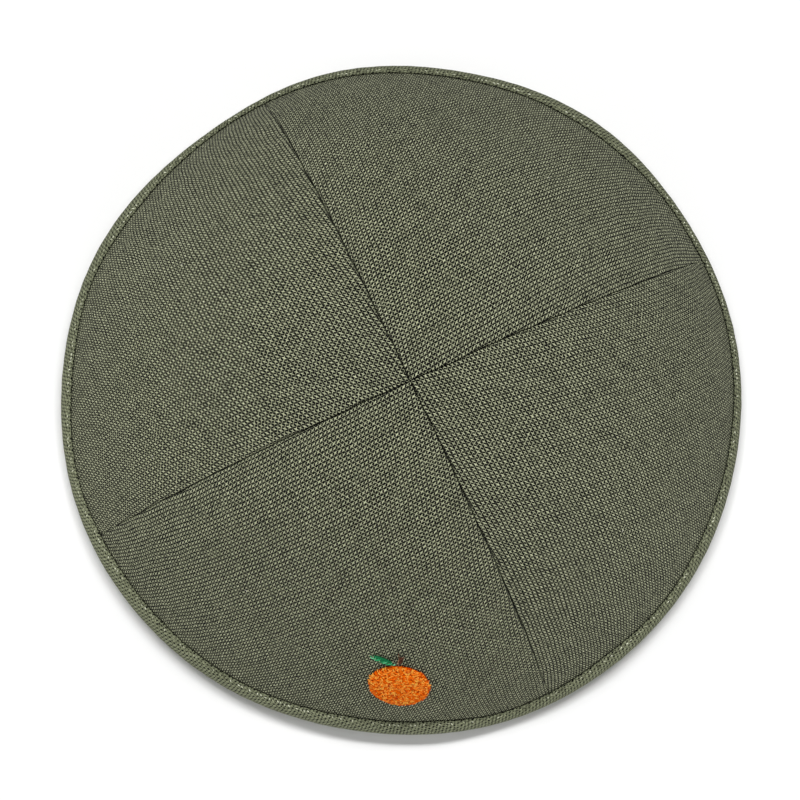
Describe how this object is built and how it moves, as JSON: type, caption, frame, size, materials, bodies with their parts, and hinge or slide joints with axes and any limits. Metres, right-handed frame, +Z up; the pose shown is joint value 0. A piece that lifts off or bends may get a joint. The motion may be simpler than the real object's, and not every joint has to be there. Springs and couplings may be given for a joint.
{
  "type": "kippah skullcap",
  "caption": "Round brimless skullcap sewn from linen gores, with a bound edge and a small embroidered orange on the front gore.",
  "frame": {"origin": "on the surface the cap rests on, under the middle of its bounding box", "axes": "+Z up through the crown, -Y towards the embroidered gore, +X to the right seen from above with the embroidery at the bottom"},
  "size_m": [0.1722, 0.1694, 0.0607],
  "materials": {
    "olive_linen": "coarse plain-woven linen, matt",
    "binding_linen": "the same linen cut on the bias, folded and stitched",
    "orange_yarn": "satin embroidery yarn in filled stitches",
    "green_yarn": "satin embroidery yarn in filled stitches",
    "brown_yarn": "satin embroidery yarn in filled stitches"
  },
  "bodies": {
    "root": {"panel_front": "olive_linen", "panel_right": "olive_linen", "panel_back": "olive_linen", "panel_left": "olive_linen", "rim_binding": "binding_linen", "embroidered_fruit": "orange_yarn", "embroidered_leaf": "green_yarn", "embroidered_stem": "brown_yarn"}
  },
  "joints": []
}
